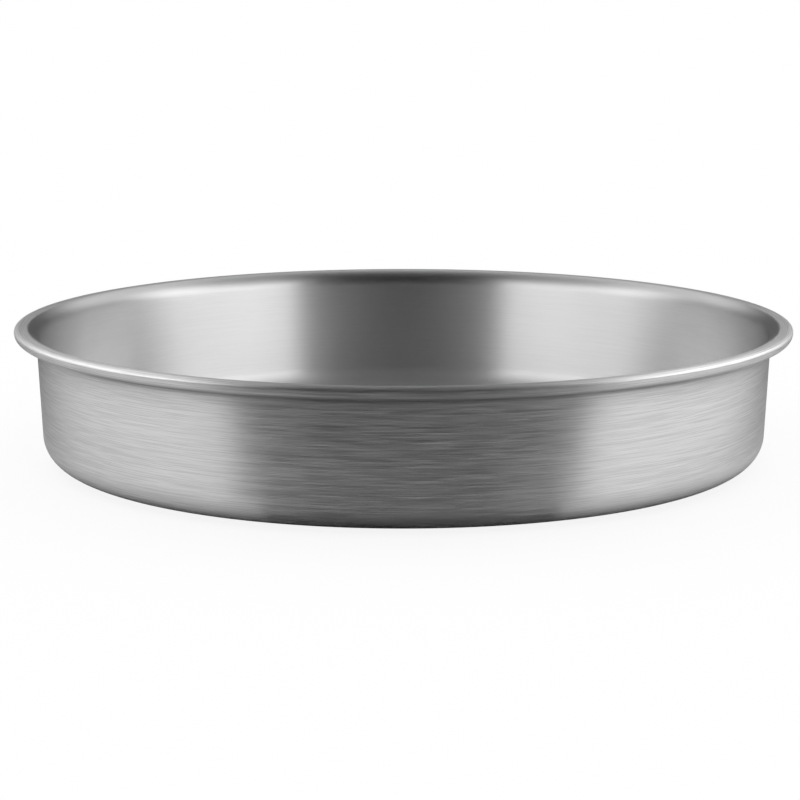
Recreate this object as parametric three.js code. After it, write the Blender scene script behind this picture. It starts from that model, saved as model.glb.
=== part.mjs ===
// A shallow round tart pan in two pieces of sheet metal: a side ring with an outward-rolled rim and
// a turned-in foot, and a loose flat base that lies on the foot and lifts out upwards.
// Millimetres, +Z up. The origin is on the pan's axis, on the surface that the pan stands on.
import * as THREE from "three";

// Driving dimensions of the side ring. Bend radii are those of the sheet's tight side.
const INSIDE_DIAMETER = 229; // across the straight wall's top edge, inside: a 9 inch pan
const WALL_RUN = 29.1; // straight part of the wall, along its slope
const WALL_DRAFT = 2.6; // degrees that the wall leans outwards
const SHEET = 1.0; // thickness of the ring's metal
const CORNER_BEND = 8.0; // inside the pan, between wall and foot
const FOOT_WIDTH = 10; // flat band that the ring stands on and the base lies on
const FLARE_BEND = 4.4; // outside the pan, under the rim
const RIM_FALL = 19; // degrees that the rim's top falls again, outwards of its crest
const ROLL_BEND = 0.1; // at the rim's outer edge, where the sheet turns down
const TUCK_BEND = 1.5; // under the rim, where the sheet turns back inwards
const TUCK_TURN = 78; // degrees that the rolled edge turns back under, past straight down

// Driving dimensions of the loose base.
const BASE_THICKNESS = 1.2;
const BASE_EDGE_ROUND = 0.4; // rounding of the base's cut edge, top and bottom
const MOST_ROUND_SHARE = 0.4; // of the base's thickness, so that some flat edge is always left
const BASE_SIDE_CLEARANCE = 0.4; // from the base's edge to where the ring's corner starts to climb
const SEAT_CLEARANCE = 0.1; // between the foot's top and the base's underside

// Fineness of the facets.
const TURN_SEGMENTS = 80; // around the pan's axis
const BEND_STEP = 18; // most degrees of one facet along a bend

const UPRIGHT = 90;
const LEVEL = 0;
const STRAIGHT_DOWN = -90;

// Follows one skin of a bent sheet through its section, outwards from the axis. The heading is in
// degrees above the horizontal.
class SheetWalk {
  constructor(radius, height) {
    this.at = { radius, height, heading: 0 };
    this.stations = [this.at];
  }

  step(radius, height, heading) {
    this.at = { radius, height, heading };
    this.stations.push(this.at);
  }

  run(length) {
    const { radius, height, heading } = this.at;
    const angle = THREE.MathUtils.degToRad(heading);
    this.step(radius + length * Math.cos(angle), height + length * Math.sin(angle), heading);
  }

  // Bends this skin on the given radius until it has the given heading.
  bendTo(endHeading, bendRadius) {
    const { radius, height, heading } = this.at;
    const turn = endHeading - heading;
    const steps = Math.ceil(Math.abs(turn) / BEND_STEP);
    const reach = Math.sign(turn) * bendRadius;
    const from = THREE.MathUtils.degToRad(heading);
    for (let i = 1; i <= steps; i += 1) {
      const newHeading = heading + (turn * i) / steps;
      const to = THREE.MathUtils.degToRad(newHeading);
      const newRadius = radius + reach * (Math.sin(to) - Math.sin(from));
      const newHeight = height + reach * (Math.cos(from) - Math.cos(to));
      this.step(newRadius, newHeight, newHeading);
    }
  }
}

// The ring's food-side skin, from the inner edge of the foot to the rolled edge. It is walked from
// radius 0 and then moved out, so that the wall's top edge has the inside diameter.
function ringSkin() {
  const walk = new SheetWalk(0, SHEET);
  walk.run(FOOT_WIDTH);
  const cornerStart = walk.at;
  walk.bendTo(UPRIGHT - WALL_DRAFT, CORNER_BEND);
  walk.run(WALL_RUN);
  const shift = INSIDE_DIAMETER / 2 - walk.at.radius;
  walk.bendTo(LEVEL, FLARE_BEND + SHEET);
  walk.bendTo(LEVEL - RIM_FALL, FLARE_BEND + SHEET);
  walk.bendTo(STRAIGHT_DOWN, ROLL_BEND + SHEET);
  walk.bendTo(STRAIGHT_DOWN - TUCK_TURN, TUCK_BEND + SHEET);
  for (const station of walk.stations) {
    station.radius += shift;
  }
  return { stations: walk.stations, cornerStart };
}

// The far skin lies one sheet thickness to the right of the food-side skin.
function farSide(station) {
  const angle = THREE.MathUtils.degToRad(station.heading);
  const radius = station.radius + SHEET * Math.sin(angle);
  const height = station.height - SHEET * Math.cos(angle);
  return new THREE.Vector2(radius, height);
}

function foodSide(station) {
  return new THREE.Vector2(station.radius, station.height);
}

// Turns a section of (radius, height) points around the pan's axis.
function turned(section) {
  return new THREE.LatheGeometry(section, TURN_SEGMENTS).rotateX(Math.PI / 2);
}

function sideRing(stations) {
  const section = [...stations.map(farSide), ...stations.map(foodSide).reverse()];
  section.push(section[0].clone());
  const metal = new THREE.MeshStandardMaterial({ color: 0xc4c4c4, roughness: 0.32, metalness: 1 });
  const mesh = new THREE.Mesh(turned(section), metal);
  mesh.name = "side_ring";
  return mesh;
}

// The base lies on the foot and ends where the ring's corner starts to climb.
function looseBase(cornerStart) {
  const edge = cornerStart.radius - BASE_SIDE_CLEARANCE;
  const bottom = cornerStart.height + SEAT_CLEARANCE;
  const top = bottom + BASE_THICKNESS;
  const round = Math.min(BASE_EDGE_ROUND, MOST_ROUND_SHARE * BASE_THICKNESS);
  const outline = new THREE.Path();
  outline.moveTo(0, bottom);
  outline.lineTo(edge - round, bottom);
  outline.absarc(edge - round, bottom + round, round, -Math.PI / 2, 0);
  outline.absarc(edge - round, top - round, round, 0, Math.PI / 2);
  outline.lineTo(0, top);
  const metal = new THREE.MeshStandardMaterial({ color: 0xcacaca, roughness: 0.36, metalness: 1 });
  const mesh = new THREE.Mesh(turned(outline.getPoints(1)), metal);
  mesh.name = "loose_base";
  return mesh;
}

const { stations, cornerStart } = ringSkin();

const pan = new THREE.Group();
pan.add(sideRing(stations), looseBase(cornerStart));

export default pan;
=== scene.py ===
"""A shallow tart pan in brushed metal: a side ring with a rolled rim, and the loose base on its foot."""
import math

import bmesh
import bpy
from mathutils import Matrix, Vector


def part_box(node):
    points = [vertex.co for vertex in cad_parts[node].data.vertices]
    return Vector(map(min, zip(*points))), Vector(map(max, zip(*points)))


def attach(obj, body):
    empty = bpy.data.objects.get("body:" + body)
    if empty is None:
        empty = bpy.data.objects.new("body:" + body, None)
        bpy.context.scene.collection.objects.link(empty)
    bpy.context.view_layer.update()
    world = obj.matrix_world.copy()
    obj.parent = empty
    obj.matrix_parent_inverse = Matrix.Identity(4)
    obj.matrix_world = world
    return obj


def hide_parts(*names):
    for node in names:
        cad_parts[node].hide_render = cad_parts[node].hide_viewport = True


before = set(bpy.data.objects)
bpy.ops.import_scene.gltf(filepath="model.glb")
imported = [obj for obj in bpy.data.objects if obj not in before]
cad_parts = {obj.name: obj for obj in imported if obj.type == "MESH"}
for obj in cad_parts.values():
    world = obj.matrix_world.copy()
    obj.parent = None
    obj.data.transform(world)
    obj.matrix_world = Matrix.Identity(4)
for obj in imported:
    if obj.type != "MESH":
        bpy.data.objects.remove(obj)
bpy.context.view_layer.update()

MM = 0.001
QUARTER_TURN = math.pi / 2
FULL_TURN = 2 * math.pi

# Sizes of the pan's sheet metal, in metres. Bend radii are those of the sheet's tight side.
INSIDE_DIAMETER = 229 * MM
WALL_RUN = 29.1 * MM
WALL_DRAFT = math.radians(2.6)
SHEET = 1.0 * MM
CORNER_BEND = 8.0 * MM
FOOT_WIDTH = 10 * MM
FLARE_BEND = 4.4 * MM
RIM_FALL = math.radians(19)
ROLL_BEND = 0.1 * MM
TUCK_BEND = 1.5 * MM
TUCK_TURN = math.radians(78)
BASE_EDGE_ROUND = 0.4 * MM
CUT_EDGE_ROUND = 0.3 * MM

# Fineness of the turned meshes.
TURN_SEGMENTS = 288
BEND_STEP = math.radians(6)
EDGE_STEPS = 4
FOOT_STEPS = 3
WALL_STEPS = 12
BASE_RING_SHARE = 0.5  # of the base's flat radius, where its middle ring of points lies
ON_AXIS = 1e-9  # a smaller radius counts as the axis itself

# The metal's finish on each skin. Streaks run from the first to the second value of a pair: "grey" is
# how much light the metal returns, and "clear" is how free it is of haze. "grain" is how much the
# brushing stretches a reflection. "crest" is where, by height, the finish turns into the rim crest's.
# "corner" is the haze in the bottom bend, and the rim-shade key says whether the skin gets the painted
# shade under the rim.
OUTSIDE = {
    "grey": (0.82, 1.0),
    "clear": (0.87, 1.0),
    "rough": 0.45,
    "grain": 0.95,
    "crest": (40.8 * MM, 42.0 * MM),
    "corner": 0.0,
    "painted_rim_shade": True,
}
INSIDE = {
    "grey": (0.85, 0.88),
    "clear": (0.995, 1.0),
    "rough": 0.35,
    "grain": 0.98,
    "crest": (42.4 * MM, 42.8 * MM),
    "corner": 0.12,
    "painted_rim_shade": False,
}
BASE = {**INSIDE, "grey": (0.72, 0.77)}
CREST_ROUGH, CREST_GRAIN, CREST_GREY = 0.5, 0.35, 0.86

# Heights between which the other changes happen, from the bottom up: of finish, and of the shade painted
# under the rim.
CORNER_HEIGHTS = (5.5 * MM, 9.0 * MM)
# Where the painted shade under the rim fades in, on the wall below the lip; the lip and roll heights
# below fade it out.
RIM_SHADE_HEIGHTS = (36.6 * MM, 38.0 * MM)
LINES_HEIGHTS = (38.5 * MM, 39.0 * MM)
LIP_HEIGHTS = (39.0 * MM, 40.4 * MM)
ROLL_HEIGHTS = (41.3 * MM, 42.1 * MM)
TOP_HEIGHTS = (42.70 * MM, 42.80 * MM)
# How light each change leaves the metal; the first is the painted shade under the rim at its darkest.
RIM_SHADE_GREY, LINES_GREY, TOP_GREY = 0.54, 0.84, 0.84
LIP_SHARE = 0.06  # of the painted shade under the rim that is left on the lip above it

# Streaks as (length, width). A short and a long kind are mixed. The shifts keep the patterns apart.
SHORT_GREY, LONG_GREY, GREY_SHIFT = (14 * MM, 0.17 * MM), (60 * MM, 0.20 * MM), 0.0
SHORT_HAZE, LONG_HAZE, HAZE_SHIFT = (14 * MM, 0.14 * MM), (60 * MM, 0.17 * MM), 70.0
LIP_LINES, LINES_SHIFT = (90 * MM, 0.3 * MM), 31.0
SHORT_SHARE, LONG_SHARE = 0.6, 0.4
STREAK_SPAN = (0.40, 0.60)
LINES_SPAN = (0.38, 0.62)
NOISE = {"Scale": 1.0, "Detail": 1.0, "Roughness": 0.6}
GRAIN_TURN = 0.25  # of a full turn, so that the grain runs around the axis

# The photograph's frame and camera.
IMAGE_WIDTH = 800
FOCAL_PX = 2523.2
AXIS_PX_RIGHT_OF_CENTRE = 3.57
CAMERA_DISTANCE = 792.33 * MM
CAMERA_HEIGHT = 164.59 * MM
CAMERA_PITCH = 0.1845
SENSOR_WIDTH = 36.0
NEAREST_SEEN = 10 * MM

# The studio that the metal reflects: a tent around the pan, with a soft box on each side, a raised
# panel behind and a dimmer middle in that panel. Azimuths are in degrees about the apex, 0 towards the
# camera and positive to the right. Elevations are in degrees.
TENT_RADIUS = 260 * MM
TENT_FLOOR = -0.5 * MM
APEX_Y = -70 * MM
LEFT_EDGE, RIGHT_EDGE, EDGE_SOFT, EDGE_LEAN = 48.2, 52.8, 4.0, 0.34
RIGHT_GAIN = 1.13
BOX, BOX_FOOT, BOX_FULL, BOX_TOP = 2.15, 6.5, 18.5, 72.0
BACK_FROM, BACK_TO = 110, 142
BACK_LOW, BACK_HIGH, BACK_HEIGHT, BACK_SPREAD = 0.10, 1.6, 46.0, 9.5
MIDDLE_FROM, MIDDLE_TO = 152, 168
MIDDLE_LOW, MIDDLE_HIGH, MIDDLE_HEIGHT, MIDDLE_SPREAD = 0.06, 0.78, 37.0, 9.0
OVERHEAD, OVERHEAD_FROM, OVERHEAD_TO = 0.0, 62, 80

# The tent's floor: its levels, how they change with distance, and the shade close to the pan.
TAIL_FROM, TAIL_TO, FLOOR_TAIL = 15, 60, 0.9
FLOOR_FRONT, FLOOR_SIDE, FLOOR_BACK = 0.25, 0.45, 0.44
FRONT_FAR, SIDE_FAR, FAR_FROM, FAR_TO = 0.42, 0.88, 125 * MM, 200 * MM
SHADE_INNER, FRONT_SHADE, SIDE_SHADE = 111.0 * MM, 130.0 * MM, 119.0 * MM

# The tent's points: azimuths, rings on its floor by radius in mm, and rings on its wall by elevation.
AZIMUTHS = range(-180, 180, 2)
FLOOR_RINGS = [80, 100, 104, 107, 109, 111, 113, 115, 117, 120, 130, 150, 180, 220]
WALL_RINGS = [0, 1, 2, 3, 4, 5, 6, 8, *range(10, 74, 2)]

# The white floor and world around the pan. FLOOR_WHITE is the share of the floor's look that no shadow
# darkens.
WHITE = (1, 1, 1, 1)
FLOOR_SIZE = 20
FLOOR_HEIGHT = -1 * MM
FLOOR_COLOUR = (0.99, 0.99, 0.99, 1)
FLOOR_ROUGH = 0.9
FLOOR_WHITE = 0.88


class SheetWalk:
    """Follows one skin of a bent sheet through its section. Headings are in radians above horizontal."""

    def __init__(self, radius, height):
        self.stations = [(radius, height, 0.0)]

    def run(self, length, pieces):
        radius, height, heading = self.stations[-1]
        for i in range(1, pieces + 1):
            part = length * i / pieces
            out = radius + part * math.cos(heading)
            up = height + part * math.sin(heading)
            self.stations.append((out, up, heading))

    def bend_to(self, end_heading, bend_radius):
        radius, height, heading = self.stations[-1]
        turn = end_heading - heading
        steps = math.ceil(abs(turn) / BEND_STEP)
        reach = math.copysign(bend_radius, turn)
        for i in range(1, steps + 1):
            new = heading + turn * i / steps
            out = radius + reach * (math.sin(new) - math.sin(heading))
            up = height + reach * (math.cos(heading) - math.cos(new))
            self.stations.append((out, up, new))


def food_side(station):
    radius, height, _ = station
    return radius, height


def far_side(station):
    radius, height, heading = station
    return radius + SHEET * math.sin(heading), height - SHEET * math.cos(heading)


def cut_edge(station, forward):
    """Points that round off the sheet's cut end, from the far skin to the food-side skin."""
    radius, height, heading = station
    along = (forward * math.cos(heading), forward * math.sin(heading))
    across = (math.sin(heading), -math.cos(heading))
    points = []
    for depth, first, second, sign in (
        (SHEET - CUT_EDGE_ROUND, across, along, 1),
        (CUT_EDGE_ROUND, along, across, -1),
    ):
        centre = (radius + depth * across[0], height + depth * across[1])
        for i in range(EDGE_STEPS + 1):
            angle = QUARTER_TURN * i / EDGE_STEPS
            c = CUT_EDGE_ROUND * math.cos(angle)
            s = CUT_EDGE_ROUND * math.sin(angle) * sign
            out = centre[0] + c * first[0] + s * second[0]
            up = centre[1] + c * first[1] + s * second[1]
            points.append((out, up))
    return points


def ring_stations():
    """The ring's food-side skin, from the foot's cut edge to the rolled one."""
    walk = SheetWalk(0.0, SHEET)
    walk.run(FOOT_WIDTH - CUT_EDGE_ROUND, FOOT_STEPS)
    walk.bend_to(QUARTER_TURN - WALL_DRAFT, CORNER_BEND)
    walk.run(WALL_RUN, WALL_STEPS)
    shift = INSIDE_DIAMETER / 2 - walk.stations[-1][0]
    walk.bend_to(0.0, FLARE_BEND + SHEET)
    walk.bend_to(-RIM_FALL, FLARE_BEND + SHEET)
    walk.bend_to(-QUARTER_TURN, ROLL_BEND + SHEET)
    walk.bend_to(-QUARTER_TURN - TUCK_TURN, TUCK_BEND + SHEET)
    return [(radius + shift, height, heading) for radius, height, heading in walk.stations]


def ring_section():
    """The ring's closed section as (radius, height) points, and which of them start inside faces."""
    first, *between, last = ring_stations()
    rolled_edge = cut_edge(last, 1)
    foot_edge = cut_edge(first, -1)
    back = between[::-1]
    section = [far_side(s) for s in between] + rolled_edge
    section += [food_side(s) for s in back] + foot_edge[::-1]
    # The inside ends at the rim's crest, where the sheet is level.
    inside = [False] * (len(between) + len(rolled_edge))
    inside += [heading > 0.0 for _, _, heading in back]
    inside += [False] * len(foot_edge)
    # The fine bends stay within the box of the CAD piece.
    low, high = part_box("side_ring")
    section = [(min(radius, high[0]), min(max(height, low[2]), high[2])) for radius, height in section]
    return section, inside


def grown(name, bm):
    """Turns a bmesh into an object in the scene."""
    mesh = bpy.data.meshes.new(name)
    bm.to_mesh(mesh)
    bm.free()
    obj = bpy.data.objects.new(name, mesh)
    bpy.context.scene.collection.objects.link(obj)
    return obj


def lengths_along(path):
    """How far along the path each of its points lies."""
    lengths = [0.0]
    for (r0, z0), (r1, z1) in zip(path, path[1:]):
        lengths.append(lengths[-1] + math.hypot(r1 - r0, z1 - z0))
    return lengths


def turned_ring(bm, radius, height):
    """One ring of points around the axis, or the same point again and again on the axis."""
    if radius < ON_AXIS:
        return [bm.verts.new((0, 0, height))] * TURN_SEGMENTS
    angles = [FULL_TURN * j / TURN_SEGMENTS for j in range(TURN_SEGMENTS)]
    return [bm.verts.new((radius * math.cos(a), radius * math.sin(a), height)) for a in angles]


def turned_piece(name, section, closed):
    """Turns a section around the pan's axis. An open section starts and ends on the axis."""
    bm = bmesh.new()
    uv = bm.loops.layers.uv.new("run")
    runs = lengths_along(section + section[:1] if closed else section)
    rings = [turned_ring(bm, radius, height) for radius, height in section]
    if closed:
        rings.append(rings[0])
    for i in range(len(rings) - 1):
        for j in range(TURN_SEGMENTS):
            k = (j + 1) % TURN_SEGMENTS
            corners = {}
            for point, around, along in (
                (rings[i][j], j, i),
                (rings[i][k], j + 1, i),
                (rings[i + 1][k], j + 1, i + 1),
                (rings[i + 1][j], j, i + 1),
            ):
                corners.setdefault(point, (around / TURN_SEGMENTS, runs[along] / runs[-1]))
            face = bm.faces.new(list(corners))
            face.smooth = True
            for loop, place in zip(face.loops, corners.values()):
                loop[uv].uv = place
    return grown(name, bm), runs[-1]


class Nodes:
    """Short names for adding and linking the shader nodes of a material or a world."""

    def __init__(self, owner):
        owner.use_nodes = True
        self.tree = owner.node_tree
        self.tree.nodes.clear()

    def add(self, kind, inputs=None, **settings):
        node = self.tree.nodes.new(kind)
        for key, value in settings.items():
            setattr(node, key, value)
        for key, value in (inputs or {}).items():
            if isinstance(value, bpy.types.NodeSocket):
                self.tree.links.new(value, node.inputs[key])
            else:
                node.inputs[key].default_value = value
        return node

    def math(self, operation, *values):
        return self.add("ShaderNodeMath", dict(enumerate(values)), operation=operation).outputs[0]

    def spread(self, value, span, low, high):
        inputs = {"Value": value, "From Min": span[0], "From Max": span[1], "To Min": low, "To Max": high}
        return self.add("ShaderNodeMapRange", inputs, interpolation_type="SMOOTHSTEP").outputs["Result"]


class Brushing(Nodes):
    """Patterns for metal that is brushed around the pan's axis."""

    def __init__(self, material, run_length):
        super().__init__(material)
        place = self.add("ShaderNodeTexCoord").outputs["Object"]
        run = self.add("ShaderNodeUVMap", uv_map="run").outputs[0]
        self.place = self.add("ShaderNodeSeparateXYZ", {0: place})
        self.run = self.add("ShaderNodeSeparateXYZ", {0: run})
        self.run_length = run_length

    def streaks(self, size, shift):
        length, width = size
        x = self.math("DIVIDE", self.place.outputs["X"], length)
        y = self.math("DIVIDE", self.place.outputs["Y"], length)
        z = self.math("MULTIPLY_ADD", self.run.outputs["Y"], self.run_length / width, shift)
        where = self.add("ShaderNodeCombineXYZ", {0: x, 1: y, 2: z}).outputs[0]
        return self.add("ShaderNodeTexNoise", {"Vector": where, **NOISE}).outputs["Fac"]

    def mixed_streaks(self, short, long, shift):
        fine = self.math("MULTIPLY", self.streaks(short, shift), SHORT_SHARE)
        return self.math("MULTIPLY_ADD", self.streaks(long, shift), LONG_SHARE, fine)

    def by_height(self, span, low, high):
        return self.spread(self.place.outputs["Z"], span, low, high)

    def darkened(self, level, darkness):
        return self.math("MULTIPLY", level, self.math("SUBTRACT", 1.0, darkness))


def shade_and_lines_at_rim(n, level):
    """Paints shade on the wall under the rim, fading out over the lip, and draws fine lines along the
    rim's lip.
    """
    painted_rim_shade = n.by_height(RIM_SHADE_HEIGHTS, 0.0, 1 - RIM_SHADE_GREY)
    painted_rim_shade = n.math("MULTIPLY", painted_rim_shade, n.by_height(LIP_HEIGHTS, 1.0, LIP_SHARE))
    painted_rim_shade = n.math("MULTIPLY", painted_rim_shade, n.by_height(ROLL_HEIGHTS, 1.0, 0.0))
    lines = n.spread(n.streaks(LIP_LINES, LINES_SHIFT), LINES_SPAN, 1 - LINES_GREY, 0.0)
    lines = n.math("MULTIPLY", lines, n.by_height(LINES_HEIGHTS, 0.0, 1.0))
    return n.darkened(n.darkened(level, painted_rim_shade), lines)


def metal(name, run_length, finish):
    """Metal brushed around the pan's axis: fine streaks in brightness and in a thin haze, with painted
    shade under the rim where asked.
    """
    material = bpy.data.materials.new(name)
    n = Brushing(material, run_length)
    level = n.spread(n.mixed_streaks(SHORT_GREY, LONG_GREY, GREY_SHIFT), STREAK_SPAN, *finish["grey"])
    level = n.math("MULTIPLY", level, n.by_height(finish["crest"], 1.0, CREST_GREY))
    level = n.math("MULTIPLY", level, n.by_height(TOP_HEIGHTS, 1.0, TOP_GREY))
    # Painted shade under the rim, on the skin that has the lip over it.
    if finish["painted_rim_shade"]:
        level = shade_and_lines_at_rim(n, level)
    clear = n.spread(n.mixed_streaks(SHORT_HAZE, LONG_HAZE, HAZE_SHIFT), STREAK_SPAN, *finish["clear"])
    corner = n.by_height(CORNER_HEIGHTS, finish["corner"], 0.0)
    shader = n.add("ShaderNodeBsdfPrincipled", {
        "Base Color": n.add("ShaderNodeCombineColor", {0: level, 1: level, 2: level}).outputs[0],
        "Metallic": n.math("SUBTRACT", clear, corner),
        "Roughness": n.by_height(finish["crest"], finish["rough"], CREST_ROUGH),
        "Anisotropic": n.by_height(finish["crest"], finish["grain"], CREST_GRAIN),
        "Anisotropic Rotation": GRAIN_TURN,
        "Tangent": n.add("ShaderNodeTangent", direction_type="RADIAL", axis="Z").outputs["Tangent"],
    })
    n.add("ShaderNodeOutputMaterial", {"Surface": shader.outputs[0]})
    return material


def build_ring():
    section, inside_faces = ring_section()
    ring, run_length = turned_piece("ring_sheet", section, True)
    ring.data.materials.append(metal("ring_outside", run_length, OUTSIDE))
    ring.data.materials.append(metal("ring_inside", run_length, INSIDE))
    for face in ring.data.polygons:
        face.material_index = 1 if inside_faces[face.index // TURN_SEGMENTS] else 0
    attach(ring, "ring")
    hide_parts("side_ring")


def build_base():
    low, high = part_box("loose_base")
    edge, bottom, top = high[0], low[2], high[2]
    flat = edge - BASE_EDGE_ROUND
    middle = BASE_RING_SHARE * flat
    section = [(0, bottom), (middle, bottom)]
    angles = [QUARTER_TURN * i / EDGE_STEPS for i in range(EDGE_STEPS + 1)]
    arc = [(BASE_EDGE_ROUND * math.sin(a), BASE_EDGE_ROUND * (1 - math.cos(a))) for a in angles]
    section += [(flat + out, bottom + up) for out, up in arc]
    section += [(flat + out, top - down) for out, down in arc[::-1]]
    section += [(middle, top), (0, top)]
    base, run_length = turned_piece("base_plate", section, False)
    base.data.materials.append(metal("base_turned", run_length, BASE))
    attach(base, "base")
    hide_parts("loose_base")


def ease(low, high, value):
    """A smooth step from 0 at the low value to 1 at the high one."""
    t = min(max((value - low) / (high - low), 0.0), 1.0)
    return t * t * (3 - 2 * t)


def bump(value, middle, width):
    """A bell curve of height 1."""
    return math.exp(-((value - middle) / width) ** 2)


def blend(first, second, share):
    return first * (1 - share) + second * share


def side_share(azimuth, elevation):
    """How far a direction lies inside the bright side of the tent, from 0 to 1."""
    edge = (RIGHT_EDGE if azimuth > 0 else LEFT_EDGE) + EDGE_LEAN * elevation
    return ease(edge - EDGE_SOFT / 2, edge + EDGE_SOFT / 2, abs(azimuth))


def side_gain(azimuth):
    return RIGHT_GAIN if azimuth > 0 else 1


def wall_level(azimuth, elevation):
    """How bright the tent's wall is."""
    turn = abs(azimuth)
    box = BOX * ease(BOX_FOOT, BOX_FULL, elevation)
    box *= min(max((BOX_TOP - elevation) / (BOX_TOP - BOX_FULL), 0), 1)
    back = BACK_LOW + BACK_HIGH * bump(elevation, BACK_HEIGHT, BACK_SPREAD)
    middle = MIDDLE_LOW + MIDDLE_HIGH * bump(elevation, MIDDLE_HEIGHT, MIDDLE_SPREAD)
    back = blend(back, middle, ease(MIDDLE_FROM, MIDDLE_TO, turn))
    level = side_share(azimuth, elevation) * blend(box, back, ease(BACK_FROM, BACK_TO, turn))
    return side_gain(azimuth) * blend(level, OVERHEAD, ease(OVERHEAD_FROM, OVERHEAD_TO, elevation))


def floor_level(azimuth, radius):
    """How bright the tent's floor is."""
    turn = abs(azimuth)
    away = ease(FAR_FROM, FAR_TO, radius)
    side = blend(FLOOR_SIDE * blend(1, SIDE_FAR, away), FLOOR_BACK, ease(BACK_FROM, BACK_TO, turn))
    side *= side_gain(azimuth) * ease(SHADE_INNER, SIDE_SHADE, radius)
    front = FLOOR_FRONT * (1 + FLOOR_TAIL * ease(TAIL_FROM, TAIL_TO, turn)) * blend(1, FRONT_FAR, away)
    front *= ease(SHADE_INNER, FRONT_SHADE, radius)
    return blend(front, side, side_share(azimuth, 0))


def on_circle(azimuth, radius, height):
    """Where a line from the apex meets a circle around the pan's axis."""
    right, ahead = math.sin(math.radians(azimuth)), -math.cos(math.radians(azimuth))
    along = APEX_Y * ahead
    reach = -along + math.sqrt(along * along - APEX_Y * APEX_Y + radius * radius)
    return reach * right, APEX_Y + reach * ahead, height


def reflected_only(obj):
    """Makes a studio card show up only in the metal."""
    obj.visible_camera = False
    obj.visible_diffuse = False
    obj.visible_transmission = False
    obj.visible_volume_scatter = False
    obj.visible_shadow = False


def light_tent():
    bm = bmesh.new()
    rings = []
    levels = []
    for radius_mm in FLOOR_RINGS:
        radius = radius_mm * MM
        rings.append([bm.verts.new(on_circle(azimuth, radius, TENT_FLOOR)) for azimuth in AZIMUTHS])
        levels += [floor_level(azimuth, radius) for azimuth in AZIMUTHS]
    for elevation in WALL_RINGS:
        out = TENT_RADIUS * math.cos(math.radians(elevation))
        up = TENT_FLOOR + TENT_RADIUS * math.sin(math.radians(elevation))
        rings.append([bm.verts.new(on_circle(azimuth, out, up)) for azimuth in AZIMUTHS])
        levels += [wall_level(azimuth, elevation) for azimuth in AZIMUTHS]
    top = bm.verts.new((0, 0, TENT_RADIUS))
    levels.append(OVERHEAD)
    neighbours = [(i, (i + 1) % len(AZIMUTHS)) for i in range(len(AZIMUTHS))]
    for lower, upper in zip(rings, rings[1:]):
        for i, j in neighbours:
            bm.faces.new((lower[i], lower[j], upper[j], upper[i]))
    for i, j in neighbours:
        bm.faces.new((rings[-1][i], rings[-1][j], top))
    tent = grown("light_tent", bm)
    glow = tent.data.attributes.new("glow", "FLOAT", "POINT")
    glow.data.foreach_set("value", levels)
    material = bpy.data.materials.new("light_tent")
    n = Nodes(material)
    level = n.add("ShaderNodeAttribute", attribute_name="glow").outputs["Fac"]
    shine = n.add("ShaderNodeEmission", {"Strength": level})
    n.add("ShaderNodeOutputMaterial", {"Surface": shine.outputs[0]})
    tent.data.materials.append(material)
    reflected_only(tent)


def studio_floor():
    """A floor that is white to the camera and in reflections, with a faint shadow of the pan."""
    bm = bmesh.new()
    bmesh.ops.create_grid(bm, x_segments=1, y_segments=1, size=FLOOR_SIZE)
    bmesh.ops.translate(bm, verts=bm.verts, vec=(0, 0, FLOOR_HEIGHT))
    floor = grown("studio_floor", bm)
    material = bpy.data.materials.new("studio_floor")
    n = Nodes(material)
    shader = n.add("ShaderNodeBsdfPrincipled", {
        "Base Color": FLOOR_COLOUR,
        "Roughness": FLOOR_ROUGH,
        "Specular IOR Level": 0.0,
    })
    white = n.add("ShaderNodeEmission", {"Color": WHITE, "Strength": 1.0})
    path = n.add("ShaderNodeLightPath").outputs
    mirrored = n.math("MAXIMUM", path["Is Glossy Ray"], path["Is Transmission Ray"])
    seen = n.math("MAXIMUM", path["Is Camera Ray"], mirrored)
    seen = n.math("MULTIPLY", seen, FLOOR_WHITE)
    mix = n.add("ShaderNodeMixShader", {0: seen, 1: shader.outputs[0], 2: white.outputs[0]})
    n.add("ShaderNodeOutputMaterial", {"Surface": mix.outputs[0]})
    floor.data.materials.append(material)


def white_world():
    world = bpy.data.worlds.new("studio")
    bpy.context.scene.world = world
    n = Nodes(world)
    background = n.add("ShaderNodeBackground", {"Color": WHITE, "Strength": 1.0})
    n.add("ShaderNodeOutputWorld", {"Surface": background.outputs[0]})


def camera():
    data = bpy.data.cameras.new("camera")
    data.sensor_width = SENSOR_WIDTH
    data.lens = FOCAL_PX / IMAGE_WIDTH * SENSOR_WIDTH
    data.shift_x = -AXIS_PX_RIGHT_OF_CENTRE / IMAGE_WIDTH
    data.clip_start = NEAREST_SEEN
    cam = bpy.data.objects.new("camera", data)
    cam.location = (0, -CAMERA_DISTANCE, CAMERA_HEIGHT)
    cam.rotation_euler = (QUARTER_TURN - CAMERA_PITCH, 0, 0)
    bpy.context.scene.collection.objects.link(cam)
    bpy.context.scene.camera = cam


bpy.context.scene.view_settings.view_transform = "Standard"
camera()
build_ring()
build_base()
light_tent()
studio_floor()
white_world()
